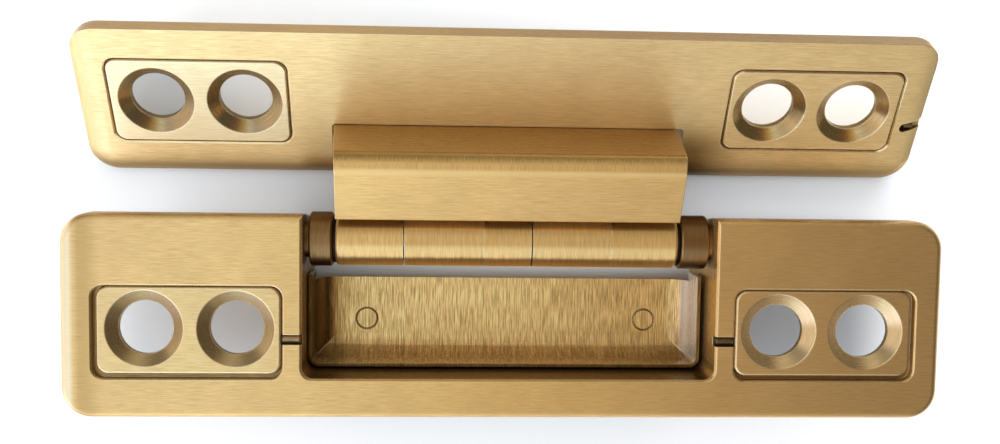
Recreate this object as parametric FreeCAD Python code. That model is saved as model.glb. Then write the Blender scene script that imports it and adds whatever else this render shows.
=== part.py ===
import FreeCAD, Part
import math
import os

# Concealed gooseneck hinge, shown open. X runs along the pin, Y across the frame leaf towards the
# door leaf, Z out of the frame leaf's face. The origin is the middle of the pocket's flat back.
# All sizes are in millimetres. "Below the edge" is measured from the frame leaf's hinge-side edge,
# "deep" is measured back from the frame leaf's face.

V = FreeCAD.Vector

# Leaves
LEAF_LENGTH = 121.0
LEAF_CORNER = 4.0
FRAME_WIDTH = 27.8
FRAME_THICK = 3.5
FRAME_EDGE = 0.9
FRAME_SHIFT = -0.25
DOOR_WIDTH = 23.5
DOOR_THICK = 3.0
DOOR_SOFT_WIDTH = 3.4
DOOR_SOFT_DROP = 1.3
DOOR_BACK_EDGE = 0.8

# Pivot, and how the leaves lie to each other
PIVOT_BELOW = 3.65
PIVOT_DEEP = 5.75
OPEN_ANGLE = 147.0
CLOSED_GAP = 6.5
CLOSED_SETBACK = 5.8

# Pocket housing behind the frame leaf
HOUSING_DEEP = 17.25
HOUSING_WALL = 2.2
HOUSING_CORNER = 3.0
HOUSING_DRAFT = 1.5
POCKET_HALF = 28.45
POCKET_BELOW = 22.4
POCKET_CORNER = 1.5
POCKET_LEAD = 0.3
BACK_WALL = 2.7
WINDOW_BELOW = 11.2

# Pressed tray and its rivets
TRAY_SHEET = 0.5
TRAY_GAP = 0.45
TRAY_SHIFT = -0.25
TRAY_TOP_BELOW = 10.0
TRAY_RIM_DEEP = 6.6
TRAY_BEND = 3.0
TRAY_EAR = 1.2
RIVET_SPACING = 41.3
RIVET_SHIFT = 0.2
RIVET_BELOW = 16.2
RIVET_RADIUS = 1.55
RIVET_HEAD_RADIUS = 2.6
RIVET_HEAD_DEEP = 1.0

# Inlaid screw plates
SCREW_SPACING = 12.25
SCREW_INSET = 43.45
SCREW_BORE = 7.4
SINK_DIAMETER = 10.5
SINK_DEEP = 1.3
PLATE_THICK = 2.2
PLATE_LENGTH = 24.7
PLATE_OFFSET = 0.15
PLATE_CORNER = 1.6
PLATE_CHAMFER = 0.2
RECESS_LEAD = 0.2
PASSAGE_MARGIN = 0.7
FRAME_ROW_BELOW = 15.55
FRAME_PLATE_WIDTH = 11.9
FRAME_PLATE_BELOW = 9.85
FRAME_STEP_OUTER = 0.65
FRAME_STEP_BOTTOM = 0.65
FRAME_STEP_DEEP = 1.2
DOOR_ROW = 12.4
DOOR_PLATE_WIDTH = 13.1
DOOR_PLATE_START = 5.75
PLATE_SLACK = 0.1

# Adjuster slots and their grub screws
SLOT_BELOW = 17.0
SLOT_WIDTH = 1.4
SLOT_DEPTH = 1.6
DOOR_SLOT = 9.7
DOOR_SLOT_LENGTH = 3.4
DOOR_SLOT_SLANT = 8.0
GRUB_RADIUS = 0.6
GRUB_LENGTH = 2.6
DOOR_GRUB_LENGTH = 1.4
SLOT_END_SHARE = 0.95

# Barrel, pin and bearings
BARREL_SHIFT = -0.4
PIN_RADIUS = 2.0
PIN_END_GAP = 0.25
KNUCKLE_RADIUS = 3.7
KNUCKLE_INNER = 3.3
KNUCKLE_OUTER = 14.5
KNUCKLE_GAP = 0.18
KNUCKLE_CLOSE = 0.02
BARREL_ROUND = 0.6
SLEEVE_RADIUS = 2.6
RUNNING_FIT = 0.03
SEAT_FIT = 0.01
WASHER_THICK = 0.3
WASHER_RADIUS = 3.3
WASHER_GAP = 0.05
BUSH_RADIUS = 3.8
BUSH_LENGTH = 3.2
BUSH_ROUND = 0.35
BUSH_WALL_GAP = 0.6
BUSH_SPIGOT_RADIUS = 2.6

# Rail behind the barrel that carries the frame knuckles
RAIL_CLEAR = 4.7
RAIL_DEEP_END = 1.4
RAIL_ABOVE = 2.2
RAIL_UNDER = 3.0
RAIL_END_GAP = 0.05
WEB_HALF = 1.8
RAIL_SCREW_SPREAD = 2.8
RAIL_SCREW_RADIUS = 0.8
RAIL_SCREW_HEAD = 1.4
RAIL_SCREW_HEAD_DEEP = 0.8
RAIL_SCREW_LENGTH = 6.0
LOCK_SCREW_RADIUS = 1.0
LOCK_SCREW_RECESS = 0.6

# Gooseneck arm
ARM_SHEET = 2.4
PLATE_LIP_UP = 2.85
PLATE_LIP_OUT = 4.2
PLATE_RISE_ANGLE = 36.4
BAND_FALL_ANGLE = 74.4
KNEE_RADIUS = 2.2
ROOT_RADIUS = 0.6
LIP_ROUND = 0.4
KNEE_INSET = 0.4
ROOT_FLARE = 1.1
NECK_FRONT_SETBACK = 1.6
NECK_BACK = 0.6
NECK_BITE = 0.7
NOTCH_SIDE_GAP = 0.4
NOTCH_DEPTH = 9.0
NOTCH_GAP = 0.06
NOTCH_CORNER = 0.5
FOOT_END = 18.0
HEEL_START = 0.5
HEEL_END = 3.2
HEEL_CLEAR = 0.1

# Screws that hold the arm's foot to the back of the door leaf
FOOT_SCREW_ROW = 14.2
FOOT_SCREW_INNER = 7.5
FOOT_SCREW_OUTER = 19.0
FOOT_SCREW_RADIUS = 1.2
FOOT_SCREW_HEAD = 2.1
FOOT_SCREW_HEAD_DEEP = 1.0
FOOT_SCREW_BITE = 1.8
FOOT_SCREW_CLEAR = 0.02

# Worked out from the sizes above
FACE_Z = HOUSING_DEEP
HOUSING_HALF = POCKET_HALF + HOUSING_WALL
HOUSING_BELOW = POCKET_BELOW + HOUSING_WALL
EDGE_Y = (WINDOW_BELOW + HOUSING_BELOW) / 2.0
PIVOT_Y = EDGE_Y - PIVOT_BELOW
PIVOT_Z = FACE_Z - PIVOT_DEEP
LEAF_HALF = LEAF_LENGTH / 2.0
TRAY_FLOOR_Z = BACK_WALL + TRAY_SHEET
PASSAGE_RADIUS = SCREW_BORE / 2.0 + PASSAGE_MARGIN
PLATE_START = SCREW_INSET + PLATE_OFFSET - PLATE_LENGTH / 2.0
PLATE_END = PLATE_START + PLATE_LENGTH
LEAN = 180.0 - OPEN_ANGLE
LEAN_COS = math.cos(math.radians(LEAN))
LEAN_SIN = math.sin(math.radians(LEAN))
CLOSED_Y = PIVOT_BELOW - CLOSED_SETBACK
CLOSED_Z = PIVOT_DEEP + CLOSED_GAP
DOOR_EDGE_Y = PIVOT_Y - CLOSED_Y * LEAN_COS + CLOSED_Z * LEAN_SIN
DOOR_EDGE_Z = PIVOT_Z - CLOSED_Y * LEAN_SIN - CLOSED_Z * LEAN_COS
RAIL_FRONT_Z = PIVOT_Z - RAIL_CLEAR
BUSH_START = POCKET_HALF - abs(BARREL_SHIFT) - BUSH_WALL_GAP - BUSH_LENGTH
ARM_HALF = BUSH_START - WASHER_THICK - 2.0 * WASHER_GAP
NECK_HALF_AT_KNEE = ARM_HALF - KNEE_INSET
NECK_HALF_AT_ROOT = ARM_HALF + ROOT_FLARE
NOTCH_HALF = NECK_HALF_AT_ROOT + NOTCH_SIDE_GAP
SHARP_CORNERS = (0.0, 0.0, 0.0, 0.0)
OVERCUT = 1.0
SIDES = (-1.0, 1.0)
SIDE_NAMES = {-1.0: "left", 1.0: "right"}


# Basic shapes
def below(distance):
    """Y of a line that lies this far below the frame leaf's hinge-side edge."""
    return EDGE_Y - distance


def box(x_range, y_range, z_range):
    """Box between two bounds on each axis, given in any order."""
    low = V(min(x_range), min(y_range), min(z_range))
    high = V(max(x_range), max(y_range), max(z_range))
    size = high - low
    return Part.makeBox(size.x, size.y, size.z, low)


def rounded_wire(corners, radii, place):
    """Closed outline through the corners, each rounded by its own radius."""
    flat = [V(a, b, 0) for a, b in corners]
    count = len(flat)
    arcs = []
    for i in range(count):
        back = (flat[i - 1] - flat[i]).normalize()
        ahead = (flat[(i + 1) % count] - flat[i]).normalize()
        half = back.getAngle(ahead) / 2.0
        reach = radii[i] / math.tan(half)
        middle = (back + ahead).normalize() * (radii[i] / math.sin(half) - radii[i])
        arcs.append((flat[i] + back * reach, flat[i] + middle, flat[i] + ahead * reach))
    edges = []
    for i in range(count):
        first, middle, last = [place(p.x, p.y) for p in arcs[i]]
        following = arcs[(i + 1) % count][0]
        if radii[i] > 0:
            edges.append(Part.Arc(first, middle, last).toShape())
        edges.append(Part.LineSegment(last, place(following.x, following.y)).toShape())
    return Part.Wire(edges)


def slab(corners, radii, z_range):
    """Plate with an outline in the XY plane between two heights."""
    low = min(z_range)
    wire = rounded_wire(corners, radii, lambda a, b: V(a, b, low))
    return Part.Face(wire).extrude(V(0, 0, max(z_range) - low))


def rectangle(x_range, y_range):
    """Corners of an upright rectangle, counted round from its lower left."""
    left, right = min(x_range), max(x_range)
    low, high = min(y_range), max(y_range)
    return [(left, low), (right, low), (right, high), (left, high)]


def bar_x(corners, radii, x_range):
    """Bar along X with a section in the YZ plane."""
    start = min(x_range)
    wire = rounded_wire(corners, radii, lambda a, b: V(start, a, b))
    return Part.Face(wire).extrude(V(max(x_range) - start, 0, 0))


def bar_y(corners, radii, y_range):
    """Bar along Y with a section in the XZ plane."""
    start = min(y_range)
    wire = rounded_wire(corners, radii, lambda a, b: V(a, start, b))
    return Part.Face(wire).extrude(V(0, max(y_range) - start, 0))


def rod(radius, start, end):
    """Round rod from one point to another."""
    line = end - start
    return Part.makeCylinder(radius, line.Length, start, line)


def rod_x(radius, x_range, y=PIVOT_Y, z=PIVOT_Z):
    """Round rod along X, on the pin's axis unless told otherwise."""
    return rod(radius, V(min(x_range), y, z), V(max(x_range), y, z))


def tube_x(outer, inner, x_range):
    """Tube along the pin's axis."""
    return rod_x(outer, x_range).cut(rod_x(inner, x_range))


def chamfered_rod_x(radius, x_range, chamfer):
    """Rod on the pin's axis with both ends chamfered."""
    solid = rod_x(radius, x_range)
    rims = [edge for edge in solid.Edges if edge.Closed]
    return solid.makeChamfer(chamfer, rims)


def grown(corners, margin):
    """Corners of an upright rectangle made larger on all sides."""
    left, low = corners[0]
    right, high = corners[2]
    return rectangle((left - margin, right + margin), (low - margin, high + margin))


def lead_in(corners, radii, face_z, lead):
    """Cutter that chamfers the mouth of a hollow with this outline."""
    wide_radii = [radius + lead if radius > 0 else 0 for radius in radii]
    mouth = slab(grown(corners, lead), wide_radii, (face_z - lead, face_z + lead))
    return mouth.makeChamfer(lead, edges_at(mouth, face_z - lead))


def countersink(top, down, hole_radius, sink_radius, sink_deep, length):
    """Cutter or screw: a cone at the top and a shank along the direction down."""
    cone = Part.makeCone(sink_radius, hole_radius, sink_deep, top, down)
    shank = rod(hole_radius, top, top + down * length)
    return cone.fuse(shank)


def clean(shape):
    """One tidy solid without the seams that joining leaves."""
    return shape.removeSplitter()


def edges_at(shape, height):
    """Edges that lie wholly in the plane at this height."""
    found = []
    for edge in shape.Edges:
        bounds = edge.BoundBox
        if abs(bounds.ZMin - height) < 1e-4 and abs(bounds.ZMax - height) < 1e-4:
            found.append(edge)
    return found


def on_door(shape):
    """Moves a shape from the door leaf's own axes, face at z = 0 and hinge-side edge at y = 0."""
    shape.rotate(V(0, 0, 0), V(1, 0, 0), LEAN)
    shape.translate(V(0, DOOR_EDGE_Y, DOOR_EDGE_Z))
    return shape


def plate_recess(x_range, y_range, face_z):
    """Seat cut for a screw plate, a little larger than the plate."""
    seat = grown(rectangle(x_range, y_range), PLATE_SLACK)
    return slab(seat, [PLATE_CORNER] * 4, (face_z - PLATE_THICK, face_z))


# Frame side
def frame_plate_ranges(side):
    """Stretches along X and Y taken up by one screw plate."""
    x_range = (side * PLATE_START, side * PLATE_END)
    y_range = (below(FRAME_PLATE_BELOW + FRAME_PLATE_WIDTH), below(FRAME_PLATE_BELOW))
    return x_range, y_range


def frame_recess(side):
    """Seat of one screw plate, and a shallow step beside it at its outer end and lower edge."""
    x_range, y_range = frame_plate_ranges(side)
    step_x = (x_range[0] - side * PLATE_SLACK, x_range[1] + side * FRAME_STEP_OUTER)
    step_y = (y_range[0] - FRAME_STEP_BOTTOM, y_range[1] + PLATE_SLACK)
    corners = rectangle(step_x, step_y)
    radii = [PLATE_CORNER] * 4
    step = slab(corners, radii, (FACE_Z - FRAME_STEP_DEEP, FACE_Z))
    return [plate_recess(x_range, y_range, FACE_Z), step, lead_in(corners, radii, FACE_Z, RECESS_LEAD)]


def screw_points(side, row):
    """Places of the two screws of one plate along a row."""
    offsets = (-SCREW_SPACING / 2.0, SCREW_SPACING / 2.0)
    return [(side * SCREW_INSET + offset, row) for offset in offsets]


def pocket_cutter():
    """Hollow of the pocket, open at the hinge-side edge, with a small lead-in at the mouth."""
    past = EDGE_Y + FRAME_WIDTH
    radii = [POCKET_CORNER, POCKET_CORNER, 0, 0]
    straight = rectangle((-POCKET_HALF, POCKET_HALF), (below(POCKET_BELOW), past))
    hollow = slab(straight, radii, (BACK_WALL, FACE_Z))
    lead = lead_in(straight, radii, FACE_Z, POCKET_LEAD)
    window = box((-POCKET_HALF, POCKET_HALF), (below(WINDOW_BELOW), past), (-OVERCUT, BACK_WALL))
    return [hollow, lead, window]


def rail_screw_axes():
    """Heights along Y of the two screws at each end of the rail."""
    middle = PIVOT_Y + (RAIL_ABOVE - RAIL_UNDER) / 2.0
    return [middle - RAIL_SCREW_SPREAD / 2.0, middle + RAIL_SCREW_SPREAD / 2.0]


def rail_screw_z():
    """Height of the rail's screws."""
    return (RAIL_DEEP_END + RAIL_FRONT_Z) / 2.0


def rail_screw_solids(clearance):
    """The four rail screws, or their holes when a clearance is given."""
    solids = []
    for side in SIDES:
        inward = V(-side, 0, 0)
        for y in rail_screw_axes():
            top = V(side * HOUSING_HALF, y, rail_screw_z())
            solids.append(countersink(top, inward, RAIL_SCREW_RADIUS + clearance, RAIL_SCREW_HEAD + clearance,
                                      RAIL_SCREW_HEAD_DEEP, RAIL_SCREW_LENGTH + clearance))
    return solids


def rivet_solid(side, clearance):
    """Flush rivet through tray and back wall with a countersunk tail, or its hole."""
    tail = V(RIVET_SHIFT + side * RIVET_SPACING / 2.0, below(RIVET_BELOW), 0)
    length = TRAY_FLOOR_Z
    return countersink(tail, V(0, 0, 1), RIVET_RADIUS + clearance, RIVET_HEAD_RADIUS + clearance,
                       RIVET_HEAD_DEEP, length)


def grub_slot(side):
    """Slot in the web between a screw plate's recess and the pocket."""
    x_range = (side * (POCKET_HALF - OVERCUT), side * PLATE_START)
    y_range = (below(SLOT_BELOW - SLOT_WIDTH / 2.0), below(SLOT_BELOW + SLOT_WIDTH / 2.0))
    return box(x_range, y_range, (FACE_Z - SLOT_DEPTH, FACE_Z + OVERCUT))


def draft_cutter():
    """Wedge that slopes the housing's open side back below the leaf."""
    corners = [(EDGE_Y, FACE_Z - FRAME_THICK), (EDGE_Y - HOUSING_DRAFT, 0.0), (EDGE_Y + HOUSING_DRAFT, 0.0)]
    reach = HOUSING_HALF + HOUSING_WALL
    return bar_x(corners, SHARP_CORNERS[:3], (-reach, reach))


def frame_leaf():
    """Frame leaf and pocket housing, cast in one piece."""
    ends = (FRAME_SHIFT - LEAF_HALF, FRAME_SHIFT + LEAF_HALF)
    outline = rectangle(ends, (below(FRAME_WIDTH), EDGE_Y))
    leaf = slab(outline, [LEAF_CORNER] * 4, (FACE_Z - FRAME_THICK, FACE_Z))
    leaf = leaf.makeFillet(FRAME_EDGE, edges_at(leaf, FACE_Z))
    outline = rectangle((-HOUSING_HALF, HOUSING_HALF), (below(HOUSING_BELOW), EDGE_Y))
    housing = slab(outline, [HOUSING_CORNER, HOUSING_CORNER, 0, 0], (0, FACE_Z - FRAME_THICK))
    solid = clean(leaf.fuse(housing.cut(draft_cutter())))
    cutters = pocket_cutter()
    for side in SIDES:
        cutters += frame_recess(side)
        cutters.append(grub_slot(side))
        cutters.append(rivet_solid(side, SEAT_FIT))
        wall = (side * (POCKET_HALF - OVERCUT), side * (HOUSING_HALF + OVERCUT))
        cutters.append(rod_x(BUSH_SPIGOT_RADIUS + SEAT_FIT, wall))
        for x, y in screw_points(side, below(FRAME_ROW_BELOW)):
            cutters.append(rod(PASSAGE_RADIUS, V(x, y, 0), V(x, y, FACE_Z)))
    cutters += rail_screw_solids(SEAT_FIT)
    return clean(solid.cut(cutters))


def screw_plate(x_range, y_range, face_z, points):
    """Screw plate with two countersunk holes and a chamfered face."""
    plate = slab(rectangle(x_range, y_range), [PLATE_CORNER] * 4, (face_z - PLATE_THICK, face_z))
    plate = plate.makeChamfer(PLATE_CHAMFER, edges_at(plate, face_z))
    for x, y in points:
        plate = plate.cut(countersink(V(x, y, face_z), V(0, 0, -1), SCREW_BORE / 2.0, SINK_DIAMETER / 2.0,
                                      SINK_DEEP, PLATE_THICK + OVERCUT))
    return plate


def frame_screw_plate(side):
    """Screw plate of the frame leaf, resting in its recess."""
    x_range, y_range = frame_plate_ranges(side)
    return screw_plate(x_range, y_range, FACE_Z, screw_points(side, below(FRAME_ROW_BELOW)))


def grub_screw(start, end):
    """Small headless screw with a chamfered tip and a socket."""
    line = (end - start).normalize()
    body = rod(GRUB_RADIUS, start, end)
    rims = [edge for edge in body.Edges if edge.Closed]
    body = body.makeChamfer(GRUB_RADIUS / 4.0, rims)
    socket = rod(GRUB_RADIUS / 2.0, start, start + line * GRUB_RADIUS)
    return body.cut(socket)


def adjuster_screw(side):
    """Grub screw lying in the slot beside the pocket, against the screw plate."""
    z = FACE_Z - SLOT_DEPTH + GRUB_RADIUS
    end = V(side * PLATE_START, below(SLOT_BELOW), z)
    start = V(side * (PLATE_START - GRUB_LENGTH), below(SLOT_BELOW), z)
    return grub_screw(start, end)


def trough(x_range, y_range, z_range, bend, corner):
    """Block with rounded bends along the bottom of its ends and of its lower side."""
    across = bar_x(rectangle(y_range, z_range), [bend, 0, 0, 0], x_range)
    along = bar_y(rectangle(x_range, z_range), [bend, bend, 0, 0], y_range)
    upright = slab(rectangle(x_range, y_range), [corner, corner, 0, 0], z_range)
    return across.common(along).common(upright)


def pocket_tray():
    """Tray pressed from sheet: a floor that bends up into three flanges, the end ones with ears."""
    half = POCKET_HALF - TRAY_GAP
    left = TRAY_SHIFT - half
    right = TRAY_SHIFT + half
    low = below(POCKET_BELOW - TRAY_GAP)
    floor_end = below(TRAY_TOP_BELOW)
    ear_end = floor_end + TRAY_EAR
    rim = FACE_Z - TRAY_RIM_DEEP
    inner_x = (left + TRAY_SHEET, right - TRAY_SHEET)
    tray = trough((left, right), (low, ear_end), (BACK_WALL, rim), TRAY_BEND + TRAY_SHEET, POCKET_CORNER)
    hollow = trough(inner_x, (low + TRAY_SHEET, ear_end + OVERCUT), (TRAY_FLOOR_Z, rim + OVERCUT), TRAY_BEND,
                    POCKET_CORNER - TRAY_SHEET)
    gap = box(inner_x, (floor_end, ear_end + OVERCUT), (0, TRAY_FLOOR_Z + TRAY_BEND))
    rivets = [rivet_solid(side, SEAT_FIT) for side in SIDES]
    return clean(tray.cut([hollow, gap] + rivets))


def tray_rivets():
    """Two flush rivets."""
    return Part.makeCompound([rivet_solid(side, 0.0) for side in SIDES])


def frame_knuckle_ranges():
    """Stretches of the pin carried by the frame's two knuckles, with the play on their left sides."""
    spans = [(-KNUCKLE_OUTER + KNUCKLE_GAP, -KNUCKLE_INNER - KNUCKLE_CLOSE),
             (KNUCKLE_INNER + KNUCKLE_GAP, KNUCKLE_OUTER - KNUCKLE_CLOSE)]
    return [(BARREL_SHIFT + start, BARREL_SHIFT + end) for start, end in spans]


def lock_screw(x, recess, clearance):
    """Headless screw from behind through rail and web up to the pin, or its hole."""
    start = V(x, PIVOT_Y, RAIL_DEEP_END + recess)
    end = V(x, PIVOT_Y, PIVOT_Z - PIN_RADIUS - SEAT_FIT)
    return rod(LOCK_SCREW_RADIUS + clearance, start, end)


def lock_screw_places():
    """X of the two pin lock screws, at the middle of each frame knuckle."""
    return [sum(stretch) / 2.0 for stretch in frame_knuckle_ranges()]


def pivot_rail():
    """Rail across the pocket behind the barrel with the two frame knuckles standing on it."""
    end = POCKET_HALF - RAIL_END_GAP
    y_range = (PIVOT_Y - RAIL_UNDER, PIVOT_Y + RAIL_ABOVE)
    rail = box((-end, end), y_range, (RAIL_DEEP_END, RAIL_FRONT_Z))
    for stretch in frame_knuckle_ranges():
        web = box(stretch, (PIVOT_Y - WEB_HALF, PIVOT_Y + WEB_HALF), (RAIL_FRONT_Z - OVERCUT, PIVOT_Z))
        knuckle = rod_x(KNUCKLE_RADIUS, stretch)
        rail = rail.fuse([web, knuckle])
    rail = rail.cut(rod_x(PIN_RADIUS + SEAT_FIT, (-end, end)))
    rail = rail.cut(rail_screw_solids(SEAT_FIT))
    rail = rail.cut([lock_screw(x, 0.0, SEAT_FIT) for x in lock_screw_places()])
    return clean(rail)


def rail_screws():
    """Four countersunk screws through the housing's side walls into the rail."""
    return Part.makeCompound([clean(solid) for solid in rail_screw_solids(0.0)])


def pin_lock_screws():
    """Two headless screws that lock the pin."""
    return Part.makeCompound([lock_screw(x, LOCK_SCREW_RECESS, 0.0) for x in lock_screw_places()])


def hinge_pin():
    """Plain steel pin through bushes, sleeves and knuckles."""
    end = HOUSING_HALF - PIN_END_GAP
    return chamfered_rod_x(PIN_RADIUS, (-end, end), PIN_RADIUS / 6.0)


def end_bush(side):
    """Flanged bush: a rounded barrel inside the pocket and a spigot in the side wall."""
    start = BARREL_SHIFT + side * BUSH_START
    end = side * (POCKET_HALF - BUSH_WALL_GAP)
    barrel = rod_x(BUSH_RADIUS, (start, end))
    rims = [edge for edge in barrel.Edges if edge.Closed]
    barrel = barrel.makeFillet(BUSH_ROUND, rims)
    spigot = rod_x(BUSH_SPIGOT_RADIUS, (end - side * BUSH_ROUND, side * HOUSING_HALF))
    bore = rod_x(PIN_RADIUS + SEAT_FIT, (start - side * OVERCUT, side * (HOUSING_HALF + OVERCUT)))
    return clean(barrel.fuse(spigot).cut(bore))


def thrust_washer(side):
    """Thin washer between the barrel's end and the bush."""
    start = BARREL_SHIFT + side * (BUSH_START - WASHER_GAP)
    return tube_x(WASHER_RADIUS, PIN_RADIUS + RUNNING_FIT, (start - side * WASHER_THICK, start))


# Door side
def door_plate_ranges(side):
    """Stretches along X and Y taken up by one screw plate in the door leaf's own axes."""
    return (side * PLATE_START, side * PLATE_END), (DOOR_PLATE_START, DOOR_PLATE_START + DOOR_PLATE_WIDTH)


def door_recess(side):
    """Seat of one screw plate in the door leaf, with a chamfered mouth."""
    x_range, y_range = door_plate_ranges(side)
    mouth = grown(rectangle(x_range, y_range), PLATE_SLACK)
    return [plate_recess(x_range, y_range, 0.0), lead_in(mouth, [PLATE_CORNER] * 4, 0.0, RECESS_LEAD)]


def slanted(shape):
    """Turns a shape of the door slot about the slot's inner end."""
    shape.rotate(V(LEAF_HALF - DOOR_SLOT_LENGTH, DOOR_SLOT, 0), V(0, 0, 1), DOOR_SLOT_SLANT)
    return shape


def door_grub_slot():
    """Round-ended slot that runs in from the door leaf's right-hand end."""
    half = SLOT_WIDTH / 2.0
    x_range = (LEAF_HALF - DOOR_SLOT_LENGTH, LEAF_HALF + SLOT_WIDTH)
    corners = rectangle(x_range, (DOOR_SLOT - half, DOOR_SLOT + half))
    round_end = SLOT_END_SHARE * half
    return slanted(slab(corners, [round_end, 0, 0, round_end], (-SLOT_DEPTH, SLOT_DEPTH)))


def foot_screw_solids(clearance):
    """Screws through the arm's foot into the back of the door leaf, or their holes."""
    solids = []
    for side in SIDES:
        for x in (FOOT_SCREW_INNER, FOOT_SCREW_OUTER):
            head = V(side * x, FOOT_SCREW_ROW, -DOOR_THICK - ARM_SHEET)
            length = ARM_SHEET + FOOT_SCREW_BITE + clearance
            solids.append(countersink(head, V(0, 0, 1), FOOT_SCREW_RADIUS + clearance,
                                      FOOT_SCREW_HEAD + clearance, FOOT_SCREW_HEAD_DEEP, length))
    return solids


def soft_section(place):
    """Section of the door leaf's soft edge: flat on top, then falling in one arc to the outline."""
    radius = (DOOR_SOFT_WIDTH ** 2 + DOOR_SOFT_DROP ** 2) / (2.0 * DOOR_SOFT_DROP)
    half_turn = math.asin(DOOR_SOFT_WIDTH / radius) / 2.0
    crest = place(DOOR_SOFT_WIDTH, 0)
    middle = place(DOOR_SOFT_WIDTH - radius * math.sin(half_turn), radius * (math.cos(half_turn) - 1.0))
    rim = place(0, -DOOR_SOFT_DROP)
    arc = Part.Arc(crest, middle, rim).toShape()
    straight = [rim, place(0, -DOOR_THICK), place(LEAF_CORNER, -DOOR_THICK), place(LEAF_CORNER, 0), crest]
    lines = [Part.LineSegment(a, b).toShape() for a, b in zip(straight, straight[1:])]
    return Part.Face(Part.Wire([arc] + lines))


def door_blank():
    """Plain door leaf: crisp at its far edge, softly rounded along the other three."""
    inner = LEAF_HALF - LEAF_CORNER
    core = box((-inner, inner), (LEAF_CORNER, DOOR_WIDTH), (-DOOR_THICK, 0))
    foot = soft_section(lambda u, h: V(-inner, u, h)).extrude(V(2.0 * inner, 0, 0))
    pieces = [foot]
    for side in SIDES:
        section = soft_section(lambda u, h: V(side * (LEAF_HALF - u), LEAF_CORNER, h))
        pieces.append(section.extrude(V(0, DOOR_WIDTH - LEAF_CORNER, 0)))
        pieces.append(section.revolve(V(side * inner, LEAF_CORNER, 0), V(0, 0, 1), -side * 90.0))
    outline = rectangle((-LEAF_HALF, LEAF_HALF), (0, DOOR_WIDTH))
    blank = clean(core.fuse(pieces))
    blank = blank.common(slab(outline, [0, 0, LEAF_CORNER, LEAF_CORNER], (-DOOR_THICK, 0)))
    return blank.makeFillet(DOOR_BACK_EDGE, edges_at(blank, -DOOR_THICK))


def door_leaf():
    """Door leaf with a notch for the arm and recesses for the screw plates."""
    leaf = door_blank()
    notch = rectangle((-NOTCH_HALF, NOTCH_HALF), (-OVERCUT, NOTCH_DEPTH))
    cutters = [slab(notch, [0, 0, NOTCH_CORNER, NOTCH_CORNER], (-DOOR_THICK - OVERCUT, OVERCUT))]
    cutters.append(door_grub_slot())
    for side in SIDES:
        cutters += door_recess(side)
        for x, y in screw_points(side, DOOR_ROW):
            cutters.append(rod(PASSAGE_RADIUS, V(x, y, -DOOR_THICK - OVERCUT), V(x, y, 0)))
    cutters += foot_screw_solids(FOOT_SCREW_CLEAR)
    return on_door(clean(leaf.cut(cutters)))


def door_screw_plate(side):
    """Screw plate of the door leaf."""
    x_range, y_range = door_plate_ranges(side)
    return on_door(screw_plate(x_range, y_range, 0.0, screw_points(side, DOOR_ROW)))


def door_adjuster_screw():
    """Grub screw lying in the slot at the door leaf's right-hand end."""
    z = -SLOT_DEPTH + GRUB_RADIUS
    inner = LEAF_HALF - DOOR_SLOT_LENGTH + SLOT_WIDTH / 2.0
    screw = grub_screw(V(inner + DOOR_GRUB_LENGTH, DOOR_SLOT, z), V(inner, DOOR_SLOT, z))
    return on_door(slanted(screw))


def door_point(along, out):
    """Y and Z of a point given along the door leaf's width and out of its face."""
    y = DOOR_EDGE_Y + along * LEAN_COS - out * LEAN_SIN
    z = DOOR_EDGE_Z + along * LEAN_SIN + out * LEAN_COS
    return V(y, z, 0)


def direction(degrees):
    """Unit direction in the YZ plane, counted from Y towards Z."""
    return V(math.cos(math.radians(degrees)), math.sin(math.radians(degrees)), 0)


def right_of(heading):
    """Unit direction a quarter turn clockwise from a heading in the YZ plane."""
    return V(heading.y, -heading.x, 0)


def meet(start_a, heading_a, start_b, heading_b):
    """Point where two lines in the YZ plane cross."""
    gap = start_b - start_a
    cross = heading_a.x * heading_b.y - heading_a.y * heading_b.x
    share = (gap.x * heading_b.y - gap.y * heading_b.x) / cross
    return start_a + heading_a * share


def arm_profile():
    """Corners and radii of the gooseneck section: plate, knee, band and foot."""
    rise = direction(PLATE_RISE_ANGLE)
    fall = direction(-BAND_FALL_ANGLE)
    along = direction(LEAN)
    lip = V(PIVOT_Y + PLATE_LIP_UP, PIVOT_Z + PLATE_LIP_OUT, 0)
    at_notch = door_point(NOTCH_DEPTH - NOTCH_GAP, 0.0)
    foot_end = door_point(FOOT_END, -DOOR_THICK)
    knee = meet(lip, rise, at_notch, fall)
    root = meet(knee, fall, foot_end, along)
    offsets = [right_of(heading) * ARM_SHEET for heading in (rise, fall, along)]
    inner_lip = lip + offsets[0]
    inner_knee = meet(inner_lip, rise, at_notch + offsets[1], fall)
    inner_root = meet(inner_knee, fall, foot_end + offsets[2], along)
    inner_end = foot_end + offsets[2]
    points = [lip, knee, root, foot_end, inner_end, inner_root, inner_knee, inner_lip]
    radii = [LIP_ROUND, KNEE_RADIUS, ROOT_RADIUS, LIP_ROUND, LIP_ROUND,
             ROOT_RADIUS + ARM_SHEET, LIP_ROUND, LIP_ROUND]
    return [(p.x, p.y) for p in points], radii, knee, root


def flare_cutter(side, knee, root):
    """Wedge that trims one side of the arm, wider at its root than at its knee."""
    fall = direction(-BAND_FALL_ANGLE)
    across = right_of(fall)
    length = (root - knee).Length
    far = 2.0 * NECK_HALF_AT_ROOT
    outline = [(NECK_HALF_AT_KNEE, -far), (NECK_HALF_AT_KNEE, 0.0), (NECK_HALF_AT_ROOT, length),
               (far, length), (far, -far)]
    points = []
    for x, depth in outline:
        spot = knee + fall * depth - across * far
        points.append(V(BARREL_SHIFT + side * x, spot.x, spot.y))
    face = Part.Face(Part.makePolygon(points + points[:1]))
    return face.extrude(V(0, across.x, across.y) * (2.0 * far))


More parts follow.
